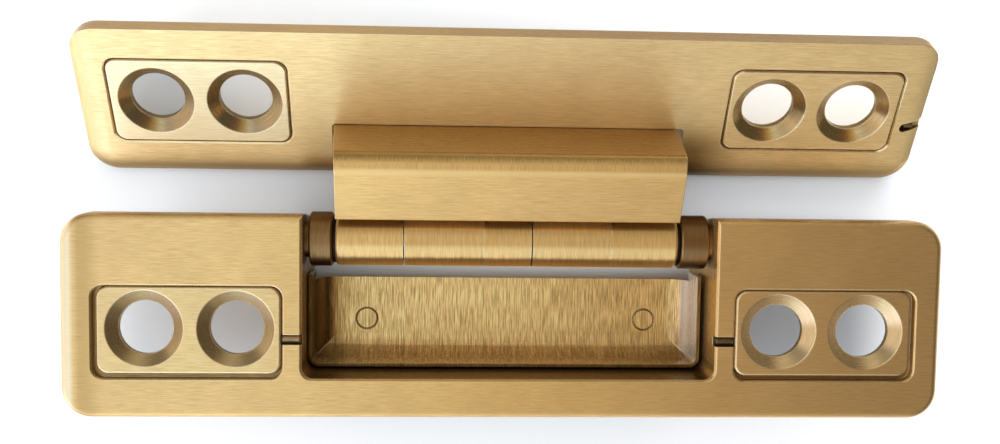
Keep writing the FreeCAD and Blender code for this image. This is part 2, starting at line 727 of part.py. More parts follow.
def arm_knuckle_ranges():
    """Stretches of the pin that turn in the arm's three knuckles, left to right."""
    spans = [(-ARM_HALF, -KNUCKLE_OUTER), (-KNUCKLE_INNER, KNUCKLE_INNER), (KNUCKLE_OUTER, ARM_HALF)]
    return [(BARREL_SHIFT + start, BARREL_SHIFT + end) for start, end in spans]


def neck_section():
    """Section of the web that joins a knuckle to the arm's plate."""
    rise = direction(PLATE_RISE_ANGLE)
    inward = right_of(rise)
    pivot = V(PIVOT_Y, PIVOT_Z, 0)
    lip = V(PIVOT_Y + PLATE_LIP_UP, PIVOT_Z + PLATE_LIP_OUT, 0)
    reach = (lip - pivot).dot(rise) + NECK_BITE
    front = (lip - pivot).dot(inward) + NECK_FRONT_SETBACK
    back = (lip - pivot).dot(inward) + ARM_SHEET + NECK_BACK
    points = [pivot + inward * front, pivot + rise * reach + inward * front,
              pivot + rise * reach + inward * back, pivot + inward * back]
    return [(p.x, p.y) for p in points]


def rounded_barrel():
    """Whole length of the arm's barrel with rounded ends."""
    solid = rod_x(KNUCKLE_RADIUS, (BARREL_SHIFT - ARM_HALF, BARREL_SHIFT + ARM_HALF))
    rims = [edge for edge in solid.Edges if edge.Closed]
    return solid.makeFillet(BARREL_ROUND, rims)


def gooseneck_arm():
    """Arm that swings out of the pocket: plate, knee and band, three knuckles and a foot."""
    corners, radii, knee, root = arm_profile()
    half = NECK_HALF_AT_ROOT
    arm = bar_x(corners, radii, (BARREL_SHIFT - half, BARREL_SHIFT + half))
    for side in SIDES:
        arm = arm.cut(flare_cutter(side, knee, root))
    heel = rectangle((PIVOT_Y + HEEL_START, PIVOT_Y + HEEL_END), (PIVOT_Z, PIVOT_Z - RAIL_CLEAR + HEEL_CLEAR))
    barrel = rounded_barrel()
    pieces = []
    for stretch in arm_knuckle_ranges():
        pieces.append(barrel.common(rod_x(2.0 * KNUCKLE_RADIUS, stretch)))
        inset = (stretch[0] + BARREL_ROUND, stretch[1] - BARREL_ROUND)
        pieces.append(bar_x(neck_section(), SHARP_CORNERS, inset))
        pieces.append(bar_x(heel, SHARP_CORNERS, inset))
    arm = arm.fuse(pieces)
    bore = rod_x(SLEEVE_RADIUS + SEAT_FIT, (BARREL_SHIFT - ARM_HALF, BARREL_SHIFT + ARM_HALF))
    holes = [on_door(solid) for solid in foot_screw_solids(FOOT_SCREW_CLEAR)]
    return clean(arm.cut([bore] + holes))


def arm_screws():
    """Four countersunk screws from behind."""
    return Part.makeCompound([on_door(clean(solid)) for solid in foot_screw_solids(0.0)])


def bearing_sleeve(stretch):
    """Thin liner of one arm knuckle."""
    return tube_x(SLEEVE_RADIUS, PIN_RADIUS + RUNNING_FIT, stretch)


def all_nodes():
    """Every piece by name."""
    nodes = {
        "frame_leaf": frame_leaf(),
        "pocket_tray": pocket_tray(),
        "tray_rivets": tray_rivets(),
        "pivot_rail": pivot_rail(),
        "rail_screws": rail_screws(),
        "hinge_pin": hinge_pin(),
        "pin_lock_screws": pin_lock_screws(),
        "door_leaf": door_leaf(),
        "door_adjuster_screw": door_adjuster_screw(),
        "gooseneck_arm": gooseneck_arm(),
        "arm_screws": arm_screws(),
    }
    for side in SIDES:
        name = SIDE_NAMES[side]
        nodes["frame_screw_plate_" + name] = frame_screw_plate(side)
        nodes["adjuster_screw_" + name] = adjuster_screw(side)
        nodes["end_bush_" + name] = end_bush(side)
        nodes["thrust_washer_" + name] = thrust_washer(side)
        nodes["door_screw_plate_" + name] = door_screw_plate(side)
    for name, stretch in zip(("left", "centre", "right"), arm_knuckle_ranges()):
        nodes["bearing_sleeve_" + name] = bearing_sleeve(stretch)
    return nodes


os.makedirs("parts", exist_ok=True)
for node, shape in all_nodes().items():
    shape.exportStep("parts/" + node + ".step")
    box_size = shape.BoundBox
    print(node, "solids", len(shape.Solids), "valid", shape.isValid(), "volume", round(shape.Volume, 2),
          "z", round(box_size.ZMin, 3), round(box_size.ZMax, 3))
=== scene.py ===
import math

import bpy
from mathutils import Matrix, Vector


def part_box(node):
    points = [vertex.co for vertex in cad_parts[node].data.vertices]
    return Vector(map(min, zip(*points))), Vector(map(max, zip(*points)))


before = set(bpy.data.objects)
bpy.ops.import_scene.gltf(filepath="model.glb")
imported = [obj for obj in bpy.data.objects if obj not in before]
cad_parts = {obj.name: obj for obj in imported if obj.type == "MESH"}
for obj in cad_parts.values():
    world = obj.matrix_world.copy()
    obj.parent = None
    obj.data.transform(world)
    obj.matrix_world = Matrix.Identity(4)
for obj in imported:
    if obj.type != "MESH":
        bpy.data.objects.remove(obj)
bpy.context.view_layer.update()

MM = 0.001

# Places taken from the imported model, in metres
LEAF_LOW, LEAF_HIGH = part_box("frame_leaf")
DOOR_LOW, DOOR_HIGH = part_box("door_leaf")
PIN_LOW, PIN_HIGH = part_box("hinge_pin")
RIVETS_LOW, RIVETS_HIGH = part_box("tray_rivets")
TRAY_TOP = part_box("pocket_tray")[1].z
FACE_Z = LEAF_HIGH.z
LEAF_MIDDLE = Vector((0.0, (LEAF_LOW.y + LEAF_HIGH.y) / 2, FACE_Z))
PIVOT = (0.0, (PIN_LOW.y + PIN_HIGH.y) / 2, (PIN_LOW.z + PIN_HIGH.z) / 2)

# Sizes of the hinge that no box gives
DOOR_LEAN = math.radians(33)
BARREL_REACH = 4.15 * MM
BARREL_EDGE = BARREL_REACH * 1.02
POCKET_HALF = 28.45 * MM
RIVET_RADIUS = 1.55 * MM
RIVET_HEAD_RADIUS = 2.6 * MM
RING_LINE = 0.2 * MM

# Directions
ALONG = (1.0, 0.0, 0.0)
ACROSS = (0.0, 1.0, 0.0)
UP = (0.0, 0.0, 1.0)
NOT_ALONG = (0.0, 1.0, 1.0)
LEVEL = (1.0, 1.0, 0.0)
DOOR_NORMAL = (0.0, -math.sin(DOOR_LEAN), math.cos(DOOR_LEAN))
DOOR_UP = (0.0, math.cos(DOOR_LEAN), math.sin(DOOR_LEAN))


def colour(red, green, blue):
    return (red, green, blue, 1.0)


# Tints of the metals
BRASS = colour(0.76, 0.48, 0.18)
DOOR_BRASS = colour(0.97, 0.68, 0.3)
ARM_BRASS = colour(0.83, 0.525, 0.185)
TRAY_BRASS = colour(1.0, 0.68, 0.27)
FRAME_CREAM = colour(0.775, 0.52, 0.212)
PLATE_CREAM = colour(1.0, 0.77, 0.42)
# Pale tint of the edges: partly wear, partly a painted highlight
EDGE_WEAR_AND_SHEEN = colour(0.95, 0.78, 0.46)
# Painted shade of the frame leaf's rolled left edge, in a band and a thin line
ROLL_SHADE = colour(0.42, 0.25, 0.07)
# Painted reflection on the tray's right flange
FLANGE_REFLECTION = colour(0.85, 0.8, 0.72)
BRONZE = colour(0.29, 0.16, 0.058)
DARK_STEEL = colour(0.2, 0.12, 0.055)
TAN_STEEL = colour(0.42, 0.28, 0.13)
STEEL = colour(0.56, 0.55, 0.53)
WASHER = colour(0.02, 0.018, 0.016)

# Noise in the metals: scale, detail and roughness of each kind, and what the noise does
SCRATCH_NOISE = (1.0, 3.0, 0.65)
CLOUD_NOISE = (160.0, 2.0, 0.5)
MOTTLE_NOISE = (900.0, 4.0, 0.6)
NOISE_MIDDLE = 0.5
NOISE_SPREAD = (0.3, 0.7)
CLOUD_SHADE = (0.96, 1.03)
MOTTLE_SHADE = (0.75, 1.15)
MOTTLE_ROUGH = (1.2, 0.8)

# Width of the rounded edges on screw plates and plain metals, and samples for edges and hollows
PLATE_EDGE = 0.28 * MM
PLAIN_EDGE = 0.15 * MM
METAL_SAMPLES = 6

# Dark brass is browner: its green and blue fall faster than its red
BROWN_GREEN = 1.12
BROWN_BLUE = 1.35


class Tree:
    """Short names for building a node tree."""

    def __init__(self, owner):
        owner.use_nodes = True
        self.nodes = owner.node_tree.nodes
        self.links = owner.node_tree.links
        self.nodes.clear()

    def put(self, socket, value):
        if isinstance(value, bpy.types.NodeSocket):
            self.links.new(value, socket)
        else:
            socket.default_value = value

    def add(self, kind, settings=None, **inputs):
        made = self.nodes.new(kind)
        for key, value in (settings or {}).items():
            setattr(made, key, value)
        for key, value in inputs.items():
            self.put(made.inputs[key], value)
        return made

    def finish_with(self, shader, output="ShaderNodeOutputMaterial"):
        self.put(self.add(output).inputs[0], shader.outputs[0])

    def math(self, operation, first, second=0.0):
        made = self.add("ShaderNodeMath", {"operation": operation})
        self.put(made.inputs[0], first)
        self.put(made.inputs[1], second)
        return made.outputs[0]

    def product(self, first, *others):
        """Values multiplied together."""
        for other in others:
            first = self.math("MULTIPLY", first, other)
        return first

    def vector(self, operation, first, second=(0.0, 0.0, 0.0)):
        made = self.add("ShaderNodeVectorMath", {"operation": operation})
        self.put(made.inputs[0], first)
        self.put(made.inputs[1], second)
        return made.outputs["Value" if operation in ("DOT_PRODUCT", "LENGTH") else "Vector"]

    def scaled(self, vector, factor):
        made = self.add("ShaderNodeVectorMath", {"operation": "SCALE"}, Scale=factor)
        self.put(made.inputs[0], vector)
        return made.outputs["Vector"]

    def parts(self, vector):
        """X, Y and Z of a vector."""
        return self.add("ShaderNodeSeparateXYZ", Vector=vector).outputs

    def carried(self, vector, kind, source, target):
        """Vector carried from one space to another."""
        settings = {"vector_type": kind, "convert_from": source, "convert_to": target}
        return self.add("ShaderNodeVectorTransform", settings, Vector=vector).outputs[0]

    def to_world(self, vector):
        return self.carried(vector, "VECTOR", "OBJECT", "WORLD")

    def to_object(self, vector):
        return self.carried(vector, "NORMAL", "WORLD", "OBJECT")

    def place(self):
        """Point on the piece, in the CAD's frame at rest."""
        return self.add("ShaderNodeTexCoord").outputs["Object"]

    def normal(self):
        return self.add("ShaderNodeNewGeometry").outputs["Normal"]

    def bevelled(self, radius):
        """Normal with the edges rounded."""
        return self.add("ShaderNodeBevel", {"samples": METAL_SAMPLES}, Radius=radius).outputs[0]

    def ramp(self, value, start, end, bottom=0.0, top=1.0, shape="SMOOTHSTEP"):
        """Number that goes from bottom to top while the value goes from start to end."""
        made = self.add("ShaderNodeMapRange", {"interpolation_type": shape, "clamp": True})
        names = ("Value", "From Min", "From Max", "To Min", "To Max")
        for key, number in zip(names, (value, start, end, bottom, top)):
            self.put(made.inputs[key], number)
        return made.outputs[0]

    def band(self, value, start, full, still_full, end):
        """1 between two places, fading to 0 on both sides."""
        return self.product(self.ramp(value, start, full), self.ramp(value, end, still_full))

    def blend(self, factor, first, second, kind="RGBA", how="MIX"):
        made = self.add("ShaderNodeMix", {"data_type": kind})
        if kind == "RGBA":
            made.blend_type = how
        socket = {"FLOAT": 2, "VECTOR": 4, "RGBA": 6}[kind]
        self.put(made.inputs[0], factor)
        self.put(made.inputs[socket], first)
        self.put(made.inputs[socket + 1], second)
        return made.outputs[{"FLOAT": 0, "VECTOR": 1, "RGBA": 2}[kind]]

    def between(self, factor, first, second):
        """Number between two others."""
        return self.blend(factor, first, second, "FLOAT")

    def noise(self, vector, scale, detail, roughness):
        inputs = {"Vector": vector, "Scale": scale, "Detail": detail, "Roughness": roughness}
        return self.add("ShaderNodeTexNoise", **inputs).outputs["Fac"]

    def sky(self, distance, samples, only_local=False):
        """Share of the sky that is open within a distance."""
        settings = {"samples": samples, "only_local": only_local}
        return self.add("ShaderNodeAmbientOcclusion", settings, Distance=distance).outputs["AO"]

    def gradient(self, value, stops):
        """Colour that changes from stop to stop as the value goes from -1 to 1."""
        made = self.add("ShaderNodeValToRGB", Fac=self.ramp(value, -1.0, 1.0, shape="LINEAR"))
        made.color_ramp.interpolation = "EASE"
        elements = made.color_ramp.elements
        while len(elements) < len(stops):
            elements.new(1.0)
        for element, (place, tint) in zip(elements, stops):
            element.position = (place + 1.0) / 2.0
            element.color = colour(*tint)
        return made.outputs["Color"]

    def browned(self, shade):
        """Grey factor that turns browner the darker it is."""
        green = self.math("POWER", shade, BROWN_GREEN)
        blue = self.math("POWER", shade, BROWN_BLUE)
        return self.add("ShaderNodeCombineColor", Red=shade, Green=green, Blue=blue).outputs[0]


class Brushed:
    """Brushed metal with streaks along its grain, finer scratches and crisp edges that are worn and carry
    a painted highlight.

    A shade is a factor on the tint. Two numbers say where a change starts and where it ends, and four
    are the ends of a band. A turn is how far a surface looks a certain way, from -1 to 1.
    """

    tint = BRASS
    along = ALONG               # way the grain runs on the flat faces
    face = UP                   # way the flat faces look
    flat_turn = (0.86, 0.96)
    streak_length = 2.6 * MM
    streak_width = 0.13 * MM
    streak = 0.22               # depth of the dark streaks
    light_streak = 0.5          # height of the light ones, as a share of that depth
    crisp = 0.25                # a streak's change, either side of the noise's middle
    lean = 0.06                 # tilt of the surface by the streaks
    grip = 0.88                 # how far reflections are drawn out across the grain
    metal = 0.88
    rough = 0.42                # on the flat faces
    rim_rough = 0.27            # off the flat faces
    worn_rough = 0.2            # on the worn edges
    scratch_rough = (1.15, 0.88)
    edge = 0.16 * MM            # width of the worn edges
    wear_turn = (0.997, 0.95)
    wear_and_sheen_share = 0.75                 # share of the pale edge tint, for wear and a painted highlight
    reach = 3.0 * MM            # how near the sides of a hollow are
    open_sky = (0.35, 0.95)
    shelter = 0.6               # shade in hollows
    rim_shade = 1.0             # off the flat faces
    wall_turn = (0.1, 0.5)
    wall_shade = 1.0            # on walls that stand upright
    back_turn = (0.55, 0.8)
    back_shade = 1.0            # on what looks to the back
    front_turn = (-0.7, -0.88)
    front_shade = 1.0           # on what looks to the front

    def __init__(self, name):
        self.material = bpy.data.materials.new(name)
        self.tree = tree = Tree(self.material)
        self.trace_grain()
        self.find_wear()
        self.scratch = tree.noise(self.coords, *SCRATCH_NOISE)
        groove = tree.to_world(self.groove)
        normal = tree.vector("NORMALIZE", self.surface_normal(groove))
        tangent = tree.vector("CROSS_PRODUCT", groove, normal)
        shader = tree.add("ShaderNodeBsdfPrincipled", Metallic=self.metallic(), Roughness=self.roughness(),
                          Anisotropic=self.grip, Normal=normal, Tangent=tangent)
        tree.put(shader.inputs["Base Color"], self.base_colour())
        tree.finish_with(shader)

    def trace_grain(self):
        """Finds the grain's direction and streak coordinates at each point."""
        tree = self.tree
        self.place = tree.place()
        self.spot = tree.parts(self.place)
        self.normal = tree.to_object(tree.normal())
        self.facing = tree.parts(self.normal)
        self.upright = tree.math("ABSOLUTE", tree.vector("DOT_PRODUCT", self.normal, self.face))
        self.flat = tree.ramp(self.upright, *self.flat_turn)
        depth = tree.scaled(self.face, tree.vector("DOT_PRODUCT", self.place, self.face))
        level = tree.vector("SUBTRACT", self.place, depth)
        stretch = tree.scaled(self.along, tree.vector("DOT_PRODUCT", self.place, self.along))
        across = tree.vector("SUBTRACT", level, stretch)
        on_flat = self.streaked(stretch, across)
        on_rim = self.streaked(level, depth)
        round_rim = tree.vector("CROSS_PRODUCT", self.normal, self.face)
        self.coords = tree.blend(self.flat, on_rim, on_flat, "VECTOR")
        self.groove = tree.blend(self.flat, round_rim, self.along, "VECTOR")

    def streaked(self, lengthways, sideways):
        """Noise coordinates that give long thin streaks."""
        tree = self.tree
        slow = tree.scaled(lengthways, 1.0 / self.streak_length)
        fast = tree.scaled(sideways, 1.0 / self.streak_width)
        return tree.vector("ADD", slow, fast)

    def turn_about_x(self, share):
        """Makes the grain run round the X axis on a share of the surface."""
        tree = self.tree
        slide = tree.vector("MULTIPLY", self.place, ALONG)
        swept = tree.vector("MULTIPLY", self.place, NOT_ALONG)
        round_x = tree.vector("CROSS_PRODUCT", self.normal, ALONG)
        self.coords = tree.blend(share, self.coords, self.streaked(swept, slide), "VECTOR")
        self.groove = tree.blend(share, self.groove, round_x, "VECTOR")

    def find_wear(self):
        """Marks the edges, where a rounded normal departs from the plain one."""
        tree = self.tree
        self.bevel = tree.bevelled(self.edge)
        self.wear_and_sheen = tree.ramp(tree.vector("DOT_PRODUCT", self.bevel, tree.normal()), *self.wear_turn)

    def surface_normal(self, groove):
        """Normal tilted along the groove by the scratches."""
        tree = self.tree
        tilt = tree.product(tree.math("SUBTRACT", self.scratch, NOISE_MIDDLE), self.tilt())
        return tree.vector("ADD", self.smooth_normal(), tree.scaled(groove, tilt))

    def smooth_normal(self):
        return self.bevel

    def tilt(self):
        return self.lean

    def metallic(self):
        return self.metal

    def roughness(self):
        """Smoother on worn edges and in bright scratches."""
        tree = self.tree
        rough = tree.between(self.wear_and_sheen, self.plain_roughness(), self.worn_rough)
        factor = tree.ramp(self.scratch, *NOISE_SPREAD, *self.scratch_rough, "LINEAR")
        return tree.product(rough, factor)

    def plain_roughness(self):
        return self.tree.between(self.flat, self.rim_rough, self.rough)

    def base_colour(self):
        """Tint with its shades, and paler on the edges, where it is worn and a highlight is painted."""
        tree = self.tree
        shade = tree.product(*self.shades())
        base = tree.blend(1.0, self.tint, tree.browned(shade), "RGBA", "MULTIPLY")
        return tree.blend(self.edge_tint_share(), base, EDGE_WEAR_AND_SHEEN)

    # Share of the pale edge tint: wear and a painted highlight
    def edge_tint_share(self):
        return self.tree.product(self.wear_and_sheen, self.wear_and_sheen_share)

    def shades(self):
        """All factors on the tint."""
        tree = self.tree
        cloud = tree.noise(self.place, *CLOUD_NOISE)
        sky = tree.sky(self.reach, METAL_SAMPLES, only_local=True)
        return [self.streak_shade(),
                tree.ramp(cloud, *NOISE_SPREAD, *CLOUD_SHADE, "LINEAR"),
                tree.ramp(sky, *self.open_sky, self.shelter, 1.0, "LINEAR"),
                self.rim_cover(),
                tree.ramp(self.upright, *self.wall_turn, self.wall_shade, 1.0),
                self.back_cover(),
                tree.ramp(self.facing["Y"], *self.front_turn, 1.0, self.front_shade)]

    def streak_shade(self):
        """Dark and light streaks about 1."""
        depth = self.streak_depth()
        darkest = self.tree.math("SUBTRACT", 1.0, depth)
        lightest = self.tree.math("ADD", 1.0, self.tree.product(depth, self.light_streak))
        start, end = NOISE_MIDDLE - self.crisp, NOISE_MIDDLE + self.crisp
        return self.tree.ramp(self.scratch, start, end, darkest, lightest, "LINEAR")

    def streak_depth(self):
        return self.streak

    def rim_cover(self):
        """1, and a shade off the flat faces."""
        return self.tree.between(self.flat, self.rim_shade, 1.0)

    def back_cover(self):
        """1, and a shade on what looks to the back."""
        return self.tree.ramp(self.facing["Y"], *self.back_turn, 1.0, self.back_shade)


class FrameLeaf(Brushed):
    """Leaf with painted shade on its pocket walls, and a rolled left edge with a painted highlight outside
    and a painted band of shade inside, edged by a painted dark line.
    """

    back_shade = 0.62
    pocket_sides = (POCKET_HALF + 0.5 * MM, POCKET_HALF + 0.3 * MM)
    pocket_depth = (FACE_Z - 0.3 * MM, FACE_Z - 1.0 * MM)
    lit_wall_turn = (-0.8, -0.4)
    pocket_shade = 0.45
    roll_shade_band = (1.7 * MM, 2.6 * MM, 3.2 * MM, 6.0 * MM)
    roll_shade_band_share = 0.5
    roll_highlight = (1.9 * MM, 1.1 * MM)
    roll_highlight_share = 0.7
    roll_shade_line = (0.25 * MM, 0.05 * MM)
    roll_shade_line_share = 0.75

    def shades(self):
        return super().shades() + [self.pocket_cover()]

    def pocket_cover(self):
        """1, and a shade on the pocket's walls, save the one that faces the light."""
        tree = self.tree
        within = tree.ramp(tree.math("ABSOLUTE", self.spot["X"]), *self.pocket_sides)
        under = tree.ramp(self.spot["Z"], *self.pocket_depth)
        unlit = tree.ramp(self.facing["X"], *self.lit_wall_turn)
        return tree.between(tree.product(unlit, within, under), 1.0, self.pocket_shade)

    def base_colour(self):
        tree = self.tree
        # Painted light on the rolled left edge: a band of painted shade inside, a painted highlight nearer
        # the rim and a painted dark line at the rim itself
        inward = tree.math("SUBTRACT", self.spot["X"], LEAF_LOW.x)
        brown = tree.product(tree.band(inward, *self.roll_shade_band), self.roll_shade_band_share)
        base = tree.blend(brown, super().base_colour(), ROLL_SHADE)
        base = tree.blend(tree.ramp(inward, *self.roll_highlight, 0.0, self.roll_highlight_share), base, EDGE_WEAR_AND_SHEEN)
        return tree.blend(tree.ramp(inward, *self.roll_shade_line, 0.0, self.roll_shade_line_share), base, ROLL_SHADE)


class FramePlate(Brushed):
    """Screw plate of the frame leaf, with painted shade in its cones, lifted a little by a painted
    highlight.
    """

    edge = PLATE_EDGE
    wall_shade = 0.3
    rim_highlight = 0.0              # share of the pale edge tint off the flat faces, a painted highlight in the cones

    def edge_tint_share(self):
        rim = self.tree.between(self.flat, self.rim_highlight, 0.0)
        return self.tree.between(super().edge_tint_share(), rim, 1.0)


class FramePlateLeft(FramePlate):
    """Paler than the leaf, with more painted shade in its cones."""

    tint = FRAME_CREAM
    rim_shade = 0.5
    rim_highlight = 0.16


class FramePlateRight(FramePlate):
    """As brown as the leaf, with less painted shade and more painted highlight in its cones."""

    rim_shade = 0.66
    rim_highlight = 0.28


class Door(Brushed):
    """Brass of the leaning leaf, duller and with rounder reflections."""

    tint = DOOR_BRASS
    face = DOOR_NORMAL
    rough = 0.45
    grip = 0.7


class DoorLeaf(Door):
    """Leaf with painted shade at its foot and on the right of its top edge, and a painted shadow of the
    arm in the corner right of it.
    """

    back_shade = 0.42
    front_shade = 0.7
    foot_rise = (0.3 * MM, 3.4 * MM)
    foot_shade = 0.5
    top_sides = (-40 * MM, 40 * MM)
    top_shade = 0.55
    corner_sides = (20 * MM, 26 * MM, 27 * MM, 36 * MM)
    corner_rise = (10 * MM, 4 * MM)
    corner_shade = 0.38
    beside_arm = (-36 * MM, -20 * MM, 18 * MM, 26 * MM)
    beside_rise = (22 * MM, 8 * MM)
    beside_metal = 0.7
    end_turn = (0.6, 0.8)
    end_flatten = 0.85          # how far the right end's roll keeps looking out of the face

    def trace_grain(self):
        super().trace_grain()
        height = self.tree.vector("DOT_PRODUCT", self.place, DOOR_UP)
        self.rise = self.tree.math("SUBTRACT", height, self.foot())

    def foot(self):
        """How far up the door's own height its lower edge lies, from the box of the leaning leaf."""
        cos, sin = math.cos(DOOR_LEAN), math.sin(DOOR_LEAN)
        box = DOOR_HIGH - DOOR_LOW
        thick = (box.z * cos - box.y * sin) / (cos * cos - sin * sin)
        return (DOOR_LOW.y + thick * sin) * cos + DOOR_LOW.z * sin

    def shades(self):
        tree = self.tree
        side = self.spot["X"]
        top = tree.ramp(self.facing["Y"], *self.back_turn)
        corner = tree.product(tree.band(side, *self.corner_sides), tree.ramp(self.rise, *self.corner_rise))
        # Painted shade at the foot and on the right of the top edge, and a painted shadow of the arm in
        # the corner beside it
        return super().shades() + [
            tree.ramp(self.rise, *self.foot_rise, self.foot_shade, 1.0),
            tree.between(top, 1.0, tree.ramp(side, *self.top_sides, 1.0, self.top_shade)),
            tree.between(corner, 1.0, self.corner_shade)]

    def metallic(self):
        tree = self.tree
        across = tree.band(self.spot["X"], *self.beside_arm)
        beside = tree.product(across, tree.ramp(self.rise, *self.beside_rise))
        return tree.between(beside, self.metal, self.beside_metal)

    def surface_normal(self, groove):
        tree = self.tree
        outward = tree.math("MAXIMUM", self.facing["X"], 0.0)
        back = tree.product(outward, tree.ramp(outward, *self.end_turn, -self.end_flatten, 0.0))
        flattened = tree.to_world(tree.scaled(ALONG, back))
        return tree.vector("ADD", super().surface_normal(groove), flattened)


class DoorPlateLeft(Door):
    """Pale screw plate with faint streaks."""

    tint = PLATE_CREAM
    streak = 0.17
    edge = PLATE_EDGE
    rim_shade = 0.42
    wall_shade = 0.4


class DoorPlateRight(Door):
    """Screw plate as brown as the leaf."""

    edge = PLATE_EDGE
    rim_shade = 0.52
    wall_shade = 0.35


class AboutPin(Brushed):
    """Brushed metal whose grain runs round the pin on the barrel and over the knee."""

    tint = ARM_BRASS
    wrap_streak = 0.24
    wrap_lean = 0.18
    wrap_rough = 0.38
    barrel_edge = (BARREL_EDGE, BARREL_REACH)
    barrel_turn = (0.94, 0.97)
    knee_turn = (-0.56, -0.15, 0.85, 0.94)
    knee_end_turn = (0.5, 0.3)
    knee_back_turn = Brushed.back_turn
    knee_back_shade = 0.75      # on top of the shade of what looks to the back
    ragged = 0.0                # how far the streaks break the border of that shade

    def trace_grain(self):
        super().trace_grain()
        tree = self.tree
        offset = tree.vector("SUBTRACT", self.place, PIVOT)
        offset = tree.vector("MULTIPLY", offset, NOT_ALONG)
        self.barrel = tree.ramp(tree.vector("LENGTH", offset), *self.barrel_edge)
        knee = tree.band(self.facing["Y"], *self.knee_turn)
        off_ends = tree.ramp(tree.math("ABSOLUTE", self.facing["X"]), *self.knee_end_turn)
        self.wrap = tree.math("MAXIMUM", self.barrel, tree.product(knee, off_ends))
        self.radial = tree.vector("NORMALIZE", offset)
        outward = tree.vector("DOT_PRODUCT", self.normal, self.radial)
        self.round = tree.product(self.barrel, tree.ramp(outward, *self.barrel_turn))
        self.flat = tree.product(self.flat, tree.math("SUBTRACT", 1.0, self.wrap))
        self.turn_about_x(self.wrap)

    def smooth_normal(self):
        return self.tree.blend(self.round, self.bevel, self.tree.to_world(self.radial), "VECTOR")

    def tilt(self):
        return self.tree.between(self.wrap, self.lean, self.wrap_lean)

    def plain_roughness(self):
        return self.tree.between(self.wrap, super().plain_roughness(), self.wrap_rough)

    def streak_depth(self):
        return self.tree.between(self.wrap, self.streak, self.wrap_streak)

    def back_cover(self):
        """1, and a shade on what looks to the back, with a ragged border on the knee."""
        tree = self.tree
        shift = tree.product(tree.math("SUBTRACT", self.scratch, NOISE_MIDDLE), self.ragged)
        darkest = tree.between(self.wrap, self.back_shade, self.back_shade * self.knee_back_shade)
        turned = tree.math("ADD", self.facing["Y"], shift)
        bent = tree.ramp(turned, *self.knee_back_turn, 1.0, darkest)
        return tree.between(self.barrel, bent, super().back_cover())


class Arm(AboutPin):
    """Gooseneck arm, with painted shade on what looks to the back and a ragged border of it over its knee.
    """

    face = DOOR_NORMAL
    grip = 0.78
    wrap_rough = 0.36
    back_shade = 0.55
    knee_back_turn = (0.25, 0.7)
    ragged = 1.3


class Bush(AboutPin):
    """Dark bronze with even reflections, and painted shade at its top and bottom."""

    tint = BRONZE
    streak = 0.3
    metal = 1.0
    grip = 0.2
    back_shade = 0.5
    front_shade = 0.35


class Tray(Brushed):
    """Pressed sheet with coarse streaks, rivet rings, painted shade on its flanges and a painted
    reflection on its right flange.
    """

    tint = TRAY_BRASS
    along = ACROSS
    rough = 0.34
    streak = 0.44
    crisp = 0.1
    streak_width = 0.14 * MM
    streak_length = 3.4 * MM
    lean = 0.15
    grip = 0.8
    metal = 0.9
    shelter = 0.7
    reach = 5.0 * MM
    end_flange_turn = (0.9, 0.7)
    left_flange_turn = (0.15, 0.5)
    left_flange_shade = 0.5
    left_bend = (-25.5 * MM, -22.5 * MM)
    left_bend_shade = 0.6
    right_half = (0.0, 26.0 * MM)
    right_half_shade = 0.78
    low_flange_turn = (0.0, 0.9)
    low_flange_shade = 0.68
    right_flange_turn = (-0.5, -0.9)
    right_flange_reflection = 0.95
    dull_turn = (0.1, 0.6)
    dull_metal = 0.5
    top_edge = (TRAY_TOP - 0.1 * MM, TRAY_TOP - 0.05 * MM)
    top_edge_shade = 0.3
    ring_shade = 0.12

    def trace_grain(self):
        super().trace_grain()
        looks_along = self.tree.math("ABSOLUTE", self.facing["X"])
        self.turn_about_x(self.tree.ramp(looks_along, *self.end_flange_turn))
        self.below_top = self.tree.ramp(self.spot["Z"], *self.top_edge, 1.0, self.top_edge_shade)
        self.right_flange = self.tree.ramp(self.facing["X"], *self.right_flange_turn)

    def find_wear(self):
        super().find_wear()
        self.wear_and_sheen = self.tree.product(self.wear_and_sheen, self.below_top)

    def shades(self):
        rivets = (RIVETS_LOW.x + RIVET_HEAD_RADIUS, RIVETS_HIGH.x - RIVET_HEAD_RADIUS)
        return super().shades() + [self.below_top] + [self.ring_line(x) for x in rivets]

    def ring_line(self, x):
        """1, and dark on the thin circle round a rivet."""
        tree = self.tree
        centre = (x, (RIVETS_LOW.y + RIVETS_HIGH.y) / 2, 0.0)
        level = tree.vector("MULTIPLY", tree.vector("SUBTRACT", self.place, centre), LEVEL)
        off = tree.math("SUBTRACT", tree.vector("LENGTH", level), RIVET_RADIUS)
        return tree.ramp(tree.math("ABSOLUTE", off), RING_LINE / 2, RING_LINE, self.ring_shade, 1.0)

    def rim_cover(self):
        """1, and shades on the left flange and its bend, to the right and on the low flange."""
        tree = self.tree
        side = self.spot["X"]
        left_flange = tree.ramp(self.facing["X"], *self.left_flange_turn, 1.0, self.left_flange_shade)
        left_bend = tree.ramp(side, *self.left_bend, self.left_bend_shade, 1.0)
        right_half = tree.ramp(side, *self.right_half, 1.0, self.right_half_shade)
        low_turn = tree.ramp(self.facing["Y"], *self.low_flange_turn, shape="LINEAR")
        low_flange = tree.between(low_turn, 1.0, self.low_flange_shade)
        return tree.product(left_flange, left_bend, right_half, low_flange)

    def base_colour(self):
        # Painted reflection: the right flange is mixed towards a pale grey
        share = self.tree.product(self.right_flange, self.right_flange_reflection)
        return self.tree.blend(share, super().base_colour(), FLANGE_REFLECTION)

    def metallic(self):
        tree = self.tree
        dull = tree.math("MAXIMUM", self.right_flange, tree.ramp(self.facing["Y"], *self.dull_turn))
        return tree.between(dull, self.metal, self.dull_metal)


